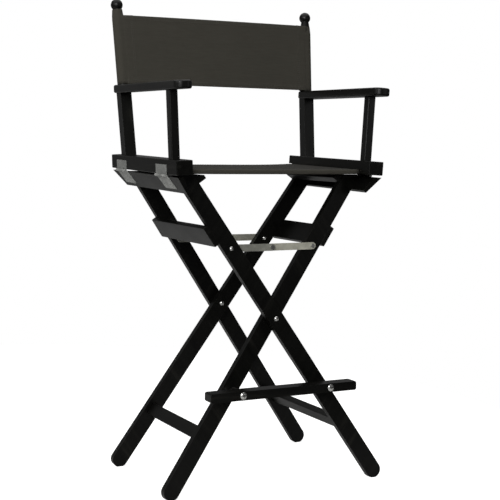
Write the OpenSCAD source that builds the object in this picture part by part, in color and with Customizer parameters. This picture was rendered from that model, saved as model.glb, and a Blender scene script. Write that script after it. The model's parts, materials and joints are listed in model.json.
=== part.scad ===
// Tall folding director chair: two crossed leg frames, two hinged sides, cloth seat and back.
// Sizes are millimetres. The chair faces -Y, Z is up and the floor is Z = 0.
// The outer frame leans up to the left (-X) and the inner frame up to the right (+X).

/* [Leg frames] */
// width of a leg across its face
leg_width = 39; // [34:0.5:44]
// thickness of a leg, front to back
leg_thick = 16.5; // [14:0.5:20]
// lean of each leg from upright when the chair is open, degrees
leg_tilt = 34.5; // [32:0.1:36]
// height of the crossing bolts above the floor
pivot_height = 403; // [385:1:420]
// backward and forward splay of the legs, wider at the floor, degrees
splay = 3.4; // [2:0.1:4]
// depth over the two outer legs at the crossing bolts
frame_depth = 332; // [320:0.5:345]
// clear space between an outer leg and the inner leg beside it
leg_gap = 11.5; // [11:0.5:15]
// height cut off the lowest point of each rounded foot
foot_flat = 1; // [0.8:0.1:2]

/* [Boards and bars] */
// thickness of a hinge board where it meets the rail
hinge_board_thick = 12; // [9:0.5:18]
// height of a hinge board down its outer face
hinge_board_tall = 53; // [46:1:60]
// lean of a hinge board's outer face from upright, degrees
hinge_board_tilt = 40; // [37:0.5:43]
// how much shorter a hinge board is at each end of its lower edge
hinge_board_slant = 20; // [0:1:40]
// distance up the leg from the crossing bolt to the outer frame's brace board
outer_brace_up = 230; // [214:1:260]
// distance up the leg from the crossing bolt to the inner frame's brace board
inner_brace_up = 219; // [214:1:260]
// height of a brace board along the leg
brace_tall = 52; // [40:1:60]
// thickness of a brace board
brace_thick = 12; // [8:0.5:18]
// depth of a top bar off the leg's inner face
top_bar_deep = 21; // [14:0.5:28]
// distance from the leg's top down to a top bar's lower face
top_bar_drop = 40; // [32:1:50]
// distance down the leg from the crossing bolt to the stretcher's middle
stretcher_down = 320; // [300:1:340]
// height of a stretcher along the leg
stretcher_tall = 31; // [24:1:40]
// thickness of a stretcher
stretcher_thick = 17; // [12:0.5:24]

/* [Seat sides] */
// height of a seat rail's lower outer edge
rail_z = 742; // [720:1:760]
// width of a seat rail
rail_wide = 40; // [38:0.5:46]
// height of a seat rail
rail_tall = 33; // [32:0.5:42]
// distance from the frame's middle forward to the rail's front end
rail_front = 190; // [180:1:205]
// distance from the frame's middle back to the rail's rear end
rail_back = 201; // [194:1:215]
// outward lean of the whole side when the chair is open, degrees
side_lean = 3; // [1:0.1:4]
// slope of the seat rails down toward the front, degrees
rail_slope = 0.9; // [0:0.1:1.2]
// space between a rail and the hinge board below it
rail_gap = 5; // [4:0.5:6]
// width of a front post
front_post_wide = 21; // [18:0.5:26]
// distance from the frame's middle forward to a front post
front_post_at = 138; // [125:1:150]
// width of a back post
back_post_wide = 28.5; // [27:0.5:34]
// depth of a back post
back_post_deep = 27; // [27:0.5:36]
// distance from the frame's middle back to a back post, at the rail's top
back_post_at = 137; // [130:1:145]
// backward lean of the back posts, degrees
recline = 8.2; // [4:0.1:10]
// inward lean of the back posts against their side, degrees
stick_toe = 0.8; // [0:0.1:1.5]
// distance from a rail's outer face to the middle of its front post
front_post_inset = 18; // [15:0.5:20]
// distance from a rail's outer face to the middle of its back post
back_post_inset = 21; // [18:0.5:23]

/* [Arms and sticks] */
// height of an arm's underside above the rail's underside
arm_up = 186; // [160:1:210]
// thickness of an arm
arm_thick = 19.5; // [16:0.5:26]
// width of an arm
arm_wide = 43; // [40:0.5:50]
// distance from the frame's middle forward to an arm's front end
arm_front = 206; // [195:1:220]
// distance from the frame's middle back to an arm's rear end
arm_back = 181; // [179:1:190]
// radius of an arm's corners
arm_corner = 18; // [6:1:20]
// radius of a back stick
stick_r = 12.5; // [11:0.25:13.5]
// height of the ball's middle above the rail's underside
ball_up = 399.5; // [380:1:420]
// radius of the ball finial
ball_r = 14.6; // [14:0.2:16]
// radius of the neck under the ball
neck_r = 9.8; // [8:0.2:11]

/* [Cloth] */
// thickness of the canvas
canvas_thick = 1.4; // [1:0.1:1.6]
// radius of a seat dowel
dowel_r = 4; // [3.5:0.1:4.2]
// height of the seat groove above the rail's underside
groove_up = 10; // [9:0.5:11]
// distance from a rail's outer face to the seat groove's middle
groove_inset = 31; // [30.5:0.5:32]
// distance from the frame's middle forward to the seat's front edge
seat_front = 150; // [140:1:165]
// distance from the frame's middle back to the seat's rear edge
seat_back = 190; // [180:1:190]
// drop of the seat's front hem
hem_drop = 12; // [6:0.5:14]
// distance up the stick from the arm's top to the back panel
panel_lift = 4; // [3:0.5:12]
// height of the back panel along the stick
panel_tall = 169; // [150:1:172]

/* [Hinges] */
// length of a hinge leaf
leaf_long = 58; // [48:1:66]
// height of an upper leaf on the rail
upper_leaf = 22; // [18:0.5:26]
// height of a lower leaf on the hinge board
lower_leaf = 38; // [30:0.5:40]
// thickness of a hinge leaf
leaf_thick = 1.8; // [1.4:0.1:2]
// distance from the frame's middle forward to the front hinge
hinge_front = 106; // [95:1:120]
// distance from the frame's middle back to the rear hinge
hinge_back = 133; // [122:1:145]
// radius of a hinge knuckle
knuckle_r = 3.2; // [3:0.05:3.2]
// radius of a hinge pin
hinge_pin_r = 1.5; // [1.2:0.05:1.5]

/* [Stays and bolts] */
// distance up the leg from the crossing bolt to the stay pins
stay_up = 202; // [190:1:208]
// width of a stay link
stay_wide = 17; // [15:0.5:22]
// thickness of a stay link
stay_thick = 2.5; // [2:0.1:2.8]
// radius of the stay pins and rivets
stay_pin_r = 2.5; // [2:0.1:3]
// radius of a stay pin's head
stay_head_r = 5; // [4.4:0.1:6]
// radius of the crossing bolts and the footrest's bolts
bolt_r = 4; // [3.5:0.1:4.5]
// radius of a crossing bolt's head
pivot_head_r = 6.5; // [6:0.1:8]
// radius of a footrest bolt's head
rest_head_r = 8.5; // [7:0.1:9.5]

/* [Footrest] */
// height of the footrest's middle
rest_height = 240; // [230:1:255]
// height of the footrest bar
rest_tall = 21; // [20:0.5:26]
// depth of the footrest bar
rest_deep = 33; // [28:0.5:40]
// space between the footrest bar and the leg behind it
rest_gap = 8; // [5:0.5:12]
// distance the footrest's bolt sits outside the leg's middle line
rest_bolt_out = 8; // [0:0.5:10]
// distance from the chair's middle to the bar's left end
rest_left = 195; // [180:1:205]
// distance from the chair's middle to the bar's right end
rest_right = 191; // [180:1:205]

/* [Clearances] */
// space round a pin that another body turns on
run_gap = 0.35; // [0.3:0.05:0.5]
// space round a glued or driven fit
glue_gap = 0.1; // [0.05:0.05:0.2]

/* [Hidden] */
$fn = 48;
far = 2000;
// how far a solid runs into another that it is joined with
lap = 1;
half_leg = leg_width / 2;
tilt_s = sin(leg_tilt);
tilt_c = cos(leg_tilt);
lean_s = sin(side_lean);
lean_c = cos(side_lean);
leg_up_dir = [-tilt_s, tilt_c];
leg_top = (rail_z - pivot_height) / tilt_c;
leg_top_z = rail_z - frame_depth / 2 * tan(rail_slope);
leg_below = ((pivot_height - half_leg + foot_flat) / tilt_c - leg_thick / 2 * sin(splay)) / cos(splay);
leg_above = leg_top / cos(splay) + leg_width;
rail_half = (rail_z - pivot_height) * tilt_s / tilt_c + (half_leg + hinge_board_thick) / tilt_c;

// legs: their depth along Y, and the front faces of the two front legs at the crossing bolts
splay_t = tan(splay);
leg_deep = leg_thick / cos(splay);
outer_front_y = -frame_depth / 2;
inner_front_y = outer_front_y + leg_deep + leg_gap;

// how far a hinge board is drawn into the legs' faces, before it is cut flush with them
board_spare = 4;

// hinge axis in the rail's own frame, and its knuckles
hinge_out = 2.6;
hinge_low = rail_gap / 2;
hinge_fold = hinge_board_tilt - side_lean;
knuckle_gap = 0.4;
hinge_spots = [-hinge_front, hinge_back];
leaf_screw_spots = [-0.31, 0.31];
leaf_screw_r = 1.8;
leaf_screw_head_r = 3.6;
leaf_screw_long = 8;
leaf_screw_height = 0.56;
leaf_clear = 1.2;

// stick lengths along the reclined axis, counted from the rail's top
stick_rise = cos(recline) * cos(stick_toe);
rail_to_arm = (arm_up - rail_tall) / stick_rise;
arm_top_s = (arm_up + arm_thick - rail_tall) / stick_rise;
ball_s = (ball_up - rail_tall) / stick_rise;
neck_s = ball_s - sqrt(ball_r * ball_r - neck_r * neck_r);
taper_long = 16;
taper_s = neck_s - taper_long;
panel_low_s = arm_top_s + panel_lift;
panel_high_s = panel_low_s + panel_tall;
sleeve_in = stick_r + run_gap;
sleeve_out = sleeve_in + canvas_thick;
tenon_r = 7;
tenon_long = 16;
tenon_into_post = 6;
arm_tenon = 10;

// seat groove
loop_in = dowel_r + run_gap;
loop_out = loop_in + canvas_thick * 0.75;
groove_r = loop_out + run_gap;
slot_tall = canvas_thick + 2;
groove_past = 8;
dowel_past = 3;
hem_clear = 4;
groove_point = side_point(groove_inset, groove_up);

// stays: each link swings along its own leg's face, on a pin square to that face
// y counts from the leg's front face and z up the leg
link_gap = 1.4;
stay_half_gap = leg_gap * cos(splay) / 2;
outer_link_y = leg_thick + stay_half_gap - link_gap / 2 - stay_thick;
inner_link_y = -stay_half_gap + link_gap / 2;
outer_stay_z = (stay_up + (leg_thick + stay_half_gap) * sin(splay)) / cos(splay);
inner_stay_z = (stay_up - stay_half_gap * sin(splay)) / cos(splay);
link_turn = atan(tilt_s / tilt_c / cos(splay));
link_long = stay_up * tilt_s * tilt_c / cos(link_turn);
stay_head = 2.4;
stay_tail = 1.7;
stay_tail_r = stay_head_r - 0.6;
rivet_head = 1.8;

// flat seats cut into the splayed faces under the bolts' heads, spacers and nuts
spacer_r = 9;
nut_r = bolt_r * 1.9;
pivot_seat_r = spacer_r + 1;
pivot_seat = pivot_seat_r * splay_t;
rest_seat_r = nut_r + 1;
rest_seat = rest_seat_r * splay_t;

// bolts and footrest
pivot_head = 3.6;
rest_head = 3.4;
nut_tall = 6;
bolt_past = 2;
rest_cross_x = (pivot_height - rest_height) * tilt_s / tilt_c;
rest_bolt_x = rest_cross_x + rest_bolt_out;
rest_u = (rest_height - pivot_height) / tilt_c;
rest_bolt_u = rest_u - rest_bolt_out * tilt_s;
rest_low_u = (rest_height - rest_tall / 2 - pivot_height - half_leg * tilt_s) / tilt_c;
rest_back_y = outer_front_y + rest_low_u * splay_t - rest_gap;
rest_front_y = rest_back_y - rest_deep;
rest_face_y = outer_front_y + rest_bolt_u * splay_t;
rest_nut_y = rest_face_y + leg_deep - rest_seat;
rest_chamfer = 3;

// cradle on the inner leg: its depth, its stop beside the catch pin and its reach under it
cradle_deep = 25;
cradle_stop = 7;
cradle_high = 6;
cradle_reach = 14;
cradle_low = 12;
cradle_into_leg = 5;
cradle_back_y = inner_front_y + rest_u * splay_t;
cradle_front_y = cradle_back_y - cradle_deep;
catch_end_y = cradle_back_y - 4;

// tenons of a stretcher: their shoulders, their share of the leg's depth and their root in the stretcher
tenon_side = 4;
tenon_end = 5;
tenon_share = 0.6;
tenon_root = 3;

// shift that puts the middle of the whole chair's depth over the origin
front_most = max(arm_front, -rest_front_y + run_gap + rest_head);
back_most = back_post_at + ball_s * sin(recline) + ball_r;
depth_shift = (front_most - back_most) / 2;

// point of the left leg's plane: n toward the chair's inside, u up the leg from the crossing bolt
function on_leg(n, u) = [n * tilt_c - u * tilt_s, pivot_height + n * tilt_s + u * tilt_c];

// point of the left side's own frame seen from the front, in the chair's frame
function side_point(x, z) = [-rail_half + x * lean_c - z * lean_s, rail_z + x * lean_s + z * lean_c];

// where the line through p along d meets the line through q along e
function meet(p, d, q, e) = p + d * cross(q - p, e) / cross(d, e);

module wood() color([0.06, 0.06, 0.055]) translate([0, depth_shift, 0]) children();
module steel() color([0.5, 0.5, 0.48]) translate([0, depth_shift, 0]) children();
module bright() color([0.75, 0.75, 0.73]) translate([0, depth_shift, 0]) children();
module cloth() color([0.2, 0.2, 0.18]) translate([0, depth_shift, 0]) children();
module other_hand() mirror([1, 0, 0]) children();
module other_end() mirror([0, 1, 0]) children();

// a front-view outline drawn out along Y
module along_y(from, to) translate([0, to, 0]) rotate([90, 0, 0]) linear_extrude(to - from) children();

// a round bar along Y
module rod(r, from, to) translate([0, to, 0]) rotate([90, 0, 0]) cylinder(r = r, h = to - from);

// a six-sided nut along Y
module nut(from)
  translate([0, from + nut_tall, 0])
    rotate([90, 0, 0]) cylinder(r = nut_r, h = nut_tall, $fn = 6);

// a domed bolt head that stands toward -Y from y = 0, with a cross recess
module domed_head(r, tall) {
  dome_r = (r * r + tall * tall) / (2 * tall);
  slot = r * 0.22;
  difference() {
    intersection() {
      translate([0, dome_r - tall, 0]) sphere(dome_r, $fn = 64);
      rod(r + 1, -tall - 1, 0);
    }
    translate([-r * 0.5, -tall - 1, -slot / 2]) cube([r, 1 + tall * 0.55, slot]);
    translate([-slot / 2, -tall - 1, -r * 0.5]) cube([slot, 1 + tall * 0.55, r]);
  }
}

// places a part of the left side, drawn with its rail's lower outer edge on the Y axis and +X inward
module on_left() translate([-rail_half, 0, rail_z]) rotate([0, -side_lean, 0]) children();
module on_right() other_hand() on_left() children();

// slopes a part of the left side as its rail does, and places such a part
module sloped() rotate([rail_slope, 0, 0]) children();
module on_rail() on_left() sloped() children();

// moves a part drawn for a level left rail, in the chair's frame, to the sloped rail
module with_rail() on_rail() rotate([0, side_lean, 0]) translate([rail_half, 0, -rail_z]) children();

// places a part along the crossing bolts
module at_pivot() translate([0, 0, pivot_height]) children();

// moves to a frame's plane on its crossing bolt: X across the legs, Y front to back, Z up the legs
module at_frame() translate([0, 0, pivot_height]) rotate([0, -leg_tilt, 0]) children();

// moves to a front leg's own frame: Y back from its front face and Z up the splayed leg
module on_leg_face(front_y) at_frame() translate([0, front_y, 0]) rotate([-splay, 0, 0]) children();

// a plain left-hand front leg with a rounded foot, cut level at the floor and at the rail
module leg_bar(front_y)
  difference() {
    on_leg_face(front_y) {
      translate([-half_leg, 0, -leg_below]) cube([leg_width, leg_thick, leg_below + leg_above]);
      translate([0, 0, -leg_below]) rod(half_leg, 0, leg_thick);
    }
    translate([-far, -far, leg_top_z]) cube(2 * far);
    translate([-far, -far, -2 * far]) cube(2 * far);
  }

// a hole along Y through a leg, with a flat seat on both faces; front_y is the front face at the hole
module seated_hole(front_y, hole_r, seat_r) {
  rod(hole_r, -far, far);
  rod(seat_r, -far, front_y + seat_r * splay_t);
  rod(seat_r, front_y + leg_deep - seat_r * splay_t, far);
}

// a left-hand front leg with its holes: pivot_hole is the radius of the crossing hole, and stay_z
// the height of the stay pin's hole
module leg(front_y, pivot_hole, stay_z)
  difference() {
    leg_bar(front_y);
    at_pivot() seated_hole(front_y, pivot_hole, pivot_seat_r);
    on_leg_face(front_y) translate([0, 0, stay_z]) rod(stay_pin_r + glue_gap / 2, -1, leg_thick + 1);
    stretcher_tenon(front_y, glue_gap);
  }

// a board between the splayed planes that start at front_y on the crossing bolts:
// n0 to n1 across the legs and u0 to u1 up the legs
module frame_board(front_y, n0, n1, u0, u1) {
  low = -front_y - u0 * splay_t;
  high = -front_y - u1 * splay_t;
  at_frame()
    translate([n0, 0, 0])
      rotate([90, 0, 90])
        linear_extrude(n1 - n0) polygon([[-low, u0], [low, u0], [high, u1], [-high, u1]]);
}

module stretcher_tenon(front_y, extra) {
  thick = stretcher_thick / 2 - tenon_side + extra;
  high = stretcher_tall / 2 - tenon_end + extra;
  deep = leg_deep * tenon_share + extra;
  inside = front_y + leg_deep - stretcher_down * splay_t;
  at_frame()
    translate([-thick, inside - deep, -stretcher_down - high])
      cube([2 * thick, deep + tenon_root, 2 * high]);
}

// a stretcher between the two legs of a frame
module stretcher(front_y) {
  high = stretcher_tall / 2;
  thick = stretcher_thick / 2;
  frame_board(front_y + leg_deep, -thick, thick, -stretcher_down - high, -stretcher_down + high);
  stretcher_tenon(front_y, 0);
  other_end() stretcher_tenon(front_y, 0);
}

module brace(front_y, up)
  frame_board(front_y, -half_leg - brace_thick, -half_leg, up, up + brace_tall);

module top_bar(front_y)
  difference() {
    frame_board(front_y, half_leg, half_leg + top_bar_deep, leg_top - top_bar_drop, leg_top + leg_width);
    translate([-far, -far, leg_top_z]) cube(2 * far);
  }

// end view of a hinge board: its outer face stands hinge_out from the hinge axis
module hinge_board_end() {
  down = [sin(hinge_board_tilt), -cos(hinge_board_tilt)];
  inward = [cos(hinge_board_tilt), sin(hinge_board_tilt)];
  face = side_point(-hinge_out, -hinge_low) + inward * hinge_out;
  top = side_point(0, -rail_gap);
  along_top = [lean_c, lean_s];
  inside = board_spare - half_leg;
  leg_face = on_leg(inside, 0);
  low = face + down * hinge_board_tall;
  low_u = (low - [0, pivot_height]) * leg_up_dir;
  polygon([
    meet(face, down, top, along_top),
    meet(leg_face, leg_up_dir, top, along_top),
    on_leg(inside, low_u),
    low
  ]);
}

// moves to the hinge board's outer face: the hinge axis is the Y axis and the board hangs toward -Z
module on_board() on_rail() translate([-hinge_out, 0, -hinge_low]) rotate([0, -hinge_fold, 0]) children();

// what a hinge board loses at its front end, drawn with the end's upper corner on the X axis
module hinge_board_loss() {
  block = 2 * hinge_board_tall;
  rotate([atan(hinge_board_slant / hinge_board_tall), 0, 0])
    translate([-block / 2, -block, -block]) cube(block);
}

module hinge_board()
  difference() {
    with_rail() along_y(-rail_front, rail_back) hinge_board_end();
    at_frame() translate([-half_leg, -far, -far]) cube(2 * far);
    on_board() {
      translate([0, -rail_front, -hinge_low]) hinge_board_loss();
      translate([0, rail_back, -hinge_low]) other_end() hinge_board_loss();
      for (y = hinge_spots) translate([0, y, 0]) leaf_screws(lower_leaf, -1, glue_gap / 2);
    }
  }

// one hinge leaf with the axis along Y: the wood's face is at x = hinge_out and the leaf stands toward +Z
module leaf(tall, middle) {
  third = leaf_long / 3;
  low = hinge_low - leaf_clear;
  spots = middle ? [0] : [-third, third];
  others = middle ? [-third, third] : [0];
  bore = middle ? hinge_pin_r + run_gap : hinge_pin_r + glue_gap / 2;
  difference() {
    union() {
      translate([hinge_out - leaf_thick, -leaf_long / 2, low])
        cube([leaf_thick, leaf_long, tall + hinge_low - low]);
      for (y = spots) rod_at(y, knuckle_r, third - knuckle_gap);
    }
    for (y = others) rod_at(y, knuckle_r + knuckle_gap, third + knuckle_gap);
    rod(bore, -leaf_long, leaf_long);
    leaf_screws(tall, 1, glue_gap / 2);
  }
}

module rod_at(y, r, long) rod(r, y - long / 2, y + long / 2);

// the two screws of a leaf; up is 1 for a leaf on the rail and -1 for one on the board
module leaf_screws(tall, up, extra) {
  for (k = leaf_screw_spots)
    translate([hinge_out, k * leaf_long, up * (hinge_low + tall * leaf_screw_height)])
      rotate([0, 90, 0]) {
        translate([0, 0, -leaf_thick]) cylinder(r = leaf_screw_head_r + extra, h = leaf_thick);
        cylinder(r = leaf_screw_r + extra, h = leaf_screw_long + extra);
      }
}

module upper_leaf_at(y) on_rail() translate([-hinge_out, y, -hinge_low]) leaf(upper_leaf, true);
module lower_leaf_at(y) on_board() translate([0, y, 0]) mirror([0, 0, 1]) leaf(lower_leaf, false);
module at_hinges() for (y = hinge_spots) translate([-hinge_out, y, -hinge_low]) children();
module hinge_pins() on_rail() at_hinges() rod_at(0, hinge_pin_r, leaf_long + 1);
module upper_screws() on_rail() at_hinges() leaf_screws(upper_leaf, 1, 0);
module lower_screws() on_board() for (y = hinge_spots) translate([0, y, 0]) leaf_screws(lower_leaf, -1, 0);

// moves to a back post's axis, with +Z up the reclined stick from the rail's top
module on_stick()
  translate([back_post_inset, back_post_at, rail_tall]) rotate([-recline, stick_toe, 0]) children();

// a plain rail with its keyhole groove and the hinges' screw holes
module rail_bar() {
  edge = 1.5;
  difference() {
    along_y(-rail_front, rail_back)
      polygon([
        [edge, 0], [rail_wide - edge, 0], [rail_wide, edge], [rail_wide, rail_tall - edge],
        [rail_wide - edge, rail_tall], [edge, rail_tall], [0, rail_tall - edge], [0, edge]
      ]);
    translate([groove_inset, 0, groove_up]) rod(groove_r, -seat_front - groove_past, rail_back + 1);
    translate([groove_inset, -seat_front - groove_past, groove_up - slot_tall / 2])
      cube([far, far, slot_tall]);
    at_hinges() leaf_screws(upper_leaf, 1, glue_gap / 2);
  }
}

module seat_rail()
  difference() {
    sloped() rail_bar();
    for (spot = [[front_post_inset, -front_post_at], [back_post_inset, back_post_at]])
      translate([spot[0], spot[1], rail_tall - tenon_long]) cylinder(r = tenon_r + glue_gap, h = far);
  }

// all that lies below the top of the left rail
module below_rail_top() sloped() translate([-far, -far, rail_tall - 2 * far]) cube(2 * far);

// the tenon of a post, from its hole in the rail up into the post
module post_tenon()
  translate([0, 0, rail_tall - tenon_long + glue_gap])
    cylinder(r = tenon_r, h = tenon_long + tenon_into_post);

module front_post() {
  half = front_post_wide / 2;
  edge = 2;
  difference() {
    translate([front_post_inset, -front_post_at, 0])
      linear_extrude(arm_up)
        polygon([
          [-half + edge, -half], [half - edge, -half], [half, -half + edge], [half, half - edge],
          [half - edge, half], [-half + edge, half], [-half, half - edge], [-half, -half + edge]
        ]);
    below_rail_top();
  }
  translate([front_post_inset, -front_post_at, 0]) {
    post_tenon();
    translate([0, 0, arm_up - lap]) cylinder(r = tenon_r, h = arm_tenon + lap);
  }
}

// the turned part of a back post: plain stick, taper, neck and ball
module stick() {
  cylinder(r = stick_r, h = taper_s, $fn = 64);
  translate([0, 0, taper_s]) cylinder(r1 = stick_r, r2 = neck_r, h = neck_s - taper_s, $fn = 64);
  translate([0, 0, ball_s]) sphere(ball_r, $fn = 64);
}

module back_post() {
  intersection() {
    on_stick()
      translate([-back_post_wide / 2, -back_post_deep / 2, -back_post_deep])
        cube([back_post_wide, back_post_deep, rail_to_arm + 2 * back_post_deep]);
    difference() {
      translate([-far, -far, 0]) cube([2 * far, 2 * far, arm_up]);
      below_rail_top();
    }
  }
  difference() {
    on_stick() stick();
    translate([-far, -far, -far]) cube([2 * far, 2 * far, far + arm_up - lap]);
  }
  translate([back_post_inset, back_post_at, 0]) post_tenon();
}

// plan of an arm with four rounded corners
module arm_plan() {
  corner = arm_corner;
  long = arm_front + arm_back;
  translate([0, -arm_front]) {
    translate([0, corner]) square([arm_wide, long - 2 * corner]);
    translate([corner, 0]) square([arm_wide - 2 * corner, long]);
    for (x = [corner, arm_wide - corner], y = [corner, long - corner]) translate([x, y]) circle(corner);
  }
}

module arm()
  difference() {
    translate([0, 0, arm_up]) linear_extrude(arm_thick) arm_plan();
    on_stick() cylinder(r = stick_r + glue_gap, h = far, $fn = 64);
    translate([front_post_inset, -front_post_at, arm_up - lap])
      cylinder(r = tenon_r + glue_gap, h = arm_tenon + lap + glue_gap);
  }

module seat_dowel()
  translate([groove_inset, 0, groove_up])
    rod(dowel_r, -seat_front - dowel_past, seat_back + dowel_past);

module seat_loop()
  on_rail()
    translate([groove_inset, 0, groove_up])
      difference() {
        rod(loop_out, -seat_front, seat_back);
        rod(loop_in, -seat_front - 1, seat_back + 1);
      }

// the hem hangs just behind the seat's front edge
module seat_sheet() {
  loop_mid = (loop_in + loop_out) / 2;
  half = -groove_point[0] - loop_mid;
  hem_half = -side_point(rail_wide, groove_up)[0] - hem_clear;
  translate([0, 0, groove_point[1]])
    sloped() {
      translate([-half, -seat_front, -canvas_thick / 2])
        cube([2 * half, seat_front + seat_back, canvas_thick]);
      translate([-hem_half, -seat_front, -canvas_thick / 2 - hem_drop])
        cube([2 * hem_half, canvas_thick, hem_drop + canvas_thick / 2]);
    }
}

// a point of the left stick's axis at a length s up the stick, in the chair's frame
function stick_point(s) =
  let (
    inward = back_post_inset + s * cos(recline) * sin(stick_toe),
    flat = side_point(inward, rail_tall + s * stick_rise)
  )
  [flat[0], back_post_at + s * sin(recline), flat[1]];

module back_sleeve()
  on_left() on_stick()
    translate([0, 0, panel_low_s])
      difference() {
        cylinder(r = sleeve_out, h = panel_tall, $fn = 64);
        translate([0, 0, -1]) cylinder(r = sleeve_in, h = panel_tall + 2, $fn = 64);
      }

// the flat panel between the sleeves, in the plane of both sticks
module back_panel() {
  wall = (sleeve_in + sleeve_out) / 2;
  low = stick_point(panel_low_s);
  high = stick_point(panel_high_s);
  rise = norm([high[1] - low[1], high[2] - low[2]]);
  translate([0, low[1], low[2]])
    rotate([-atan2(high[1] - low[1], high[2] - low[2]), 0, 0])
      along_y(-canvas_thick / 2, canvas_thick / 2)
        polygon([[low[0] + wall, 0], [-low[0] - wall, 0], [-high[0] - wall, rise], [high[0] + wall, rise]]);
}

// a bolt along Y with its head at from and its plain end at to
module bolt(from, to, head_r, head) {
  translate([0, from, 0]) domed_head(head_r, head);
  rod(bolt_r, from - 0.5, to);
}

module front_pivot_bolt() {
  tip = inner_front_y + leg_deep - pivot_seat + run_gap + nut_tall + bolt_past;
  at_pivot() bolt(outer_front_y + pivot_seat, tip, pivot_head_r, pivot_head);
}

module rear_pivot_bolt() {
  head_y = -inner_front_y - leg_deep + pivot_seat - run_gap;
  tip = -outer_front_y - pivot_seat + nut_tall + bolt_past;
  at_pivot() bolt(head_y, tip, pivot_head_r, pivot_head);
}

module pivot_spacer()
  at_pivot()
    difference() {
      rod(spacer_r, outer_front_y + leg_deep - pivot_seat, inner_front_y + pivot_seat - run_gap);
      rod(bolt_r + glue_gap / 2, -far, far);
    }

module pivot_nut(from)
  at_pivot()
    difference() {
      nut(from);
      rod(bolt_r + glue_gap / 2, from - 1, from + nut_tall + 1);
    }

// moves to a stay pin's axis on the left leg, or on the leg of the inner frame, drawn left-handed
module on_outer_stay() on_leg_face(outer_front_y) translate([0, 0, outer_stay_z]) children();
module on_inner_stay() on_leg_face(inner_front_y) translate([0, 0, inner_stay_z]) children();

// pin of an outer leg's stay link: head in front of the leg, shoulder, link, tail
module outer_stay_pin() {
  tail_y = outer_link_y + stay_thick + run_gap;
  on_outer_stay() {
    domed_head(stay_head_r, stay_head);
    rod(stay_pin_r, -0.5, tail_y + stay_tail);
    rod(stay_head_r, leg_thick, outer_link_y - run_gap);
    rod(stay_tail_r, tail_y, tail_y + stay_tail);
  }
}

// pin of an inner leg's stay link: head behind the leg, shoulder, link, tail
module inner_stay_pin() {
  tail_y = inner_link_y - run_gap;
  on_inner_stay() {
    translate([0, leg_thick, 0]) other_end() domed_head(stay_head_r, stay_head);
    rod(stay_pin_r, tail_y - stay_tail, leg_thick + 0.5);
    rod(stay_head_r, inner_link_y + stay_thick + run_gap, 0);
    rod(stay_tail_r, tail_y - stay_tail, tail_y);
  }
}

// a stay link from its pin to the chair's middle, its front face at y
// end_hole is the radius of the hole in the middle
module stay_link(y, end_hole) {
  half = stay_wide / 2;
  rotate([0, link_turn, 0])
    along_y(y, y + stay_thick)
      difference() {
        union() {
          translate([0, -half]) square([link_long, stay_wide]);
          for (x = [0, link_long]) translate([x, 0]) circle(half);
        }
        circle(stay_pin_r + run_gap);
        translate([link_long, 0]) circle(end_hole);
      }
}

module outer_link() on_outer_stay() stay_link(outer_link_y, stay_pin_r + glue_gap / 2);

// moves from a stay pin to the middle end of its link
module at_link_end() rotate([0, link_turn, 0]) translate([link_long, 0, 0]) children();

module stay_rivet()
  on_outer_stay() at_link_end() {
    rod(stay_head_r, outer_link_y - rivet_head, outer_link_y);
    rod(stay_pin_r, outer_link_y - 0.5, outer_link_y + stay_thick);
  }

// the inner link carries the rivet's closed tail on its back
module inner_link() {
  back_y = inner_link_y + stay_thick;
  on_inner_stay() {
    stay_link(inner_link_y, stay_pin_r);
    at_link_end() {
      rod(stay_pin_r, inner_link_y, back_y + 0.5);
      rod(stay_head_r, back_y, back_y + rivet_head);
    }
  }
}

module footrest_bar_solid() {
  low = rest_height - rest_tall / 2;
  high = rest_height + rest_tall / 2;
  cut = rest_chamfer;
  difference() {
    along_y(rest_front_y, rest_back_y)
      polygon([
        [-rest_left, low + cut], [-rest_left + cut, low],
        [rest_right - cut, low], [rest_right, low + cut],
        [rest_right, high - cut], [rest_right - cut, high],
        [-rest_left + cut, high], [-rest_left, high - cut]
      ]);
    translate([rest_bolt_x, 0, rest_height]) rod(bolt_r + run_gap, rest_front_y - 1, rest_back_y + 1);
    translate([-rest_cross_x, 0, rest_height])
      rod(bolt_r + glue_gap / 2, rest_front_y - 1, rest_back_y + 1);
  }
}

// the block on the inner front leg: open upward for the swing and to the upper left for the fold
module cradle() {
  hold = bolt_r + run_gap + 0.2;
  wall = hold + 0.6;
  slope = tilt_s / tilt_c;
  seat = -hold / tilt_c;
  difference() {
    along_y(cradle_front_y, cradle_back_y + cradle_into_leg)
      translate([-rest_cross_x, rest_height])
        polygon([
          [wall + cradle_stop, cradle_high], [wall, cradle_high], [wall, seat - wall * slope],
          [-cradle_reach, seat + cradle_reach * slope], [-cradle_reach, -cradle_low],
          [wall + cradle_stop, -cradle_low]
        ]);
    other_hand() leg_bar(inner_front_y);
    other_hand() translate([0, leg_thick, 0]) leg_bar(inner_front_y);
  }
}

module outer_leg_front()
  wood()
    difference() {
      leg(outer_front_y, bolt_r + glue_gap / 2, outer_stay_z);
      translate([rest_bolt_x, 0, rest_height])
        seated_hole(rest_face_y, bolt_r + glue_gap / 2, rest_seat_r);
    }
module outer_leg_rear() wood() other_end() leg(outer_front_y, bolt_r + glue_gap / 2, outer_stay_z);
module outer_hinge_board() wood() hinge_board();
module outer_brace() wood() brace(outer_front_y, outer_brace_up);
module outer_top_bar() wood() top_bar(outer_front_y);
module outer_stretcher() wood() stretcher(outer_front_y);
module left_lower_leaf_front() steel() lower_leaf_at(-hinge_front);
module left_lower_leaf_rear() steel() lower_leaf_at(hinge_back);
module left_hinge_pins() steel() hinge_pins();
module left_lower_screws() steel() lower_screws();
module pivot_bolts()
  bright() {
    front_pivot_bolt();
    rear_pivot_bolt();
  }
module pivot_spacers()
  steel() {
    pivot_spacer();
    other_end() pivot_spacer();
  }
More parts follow.
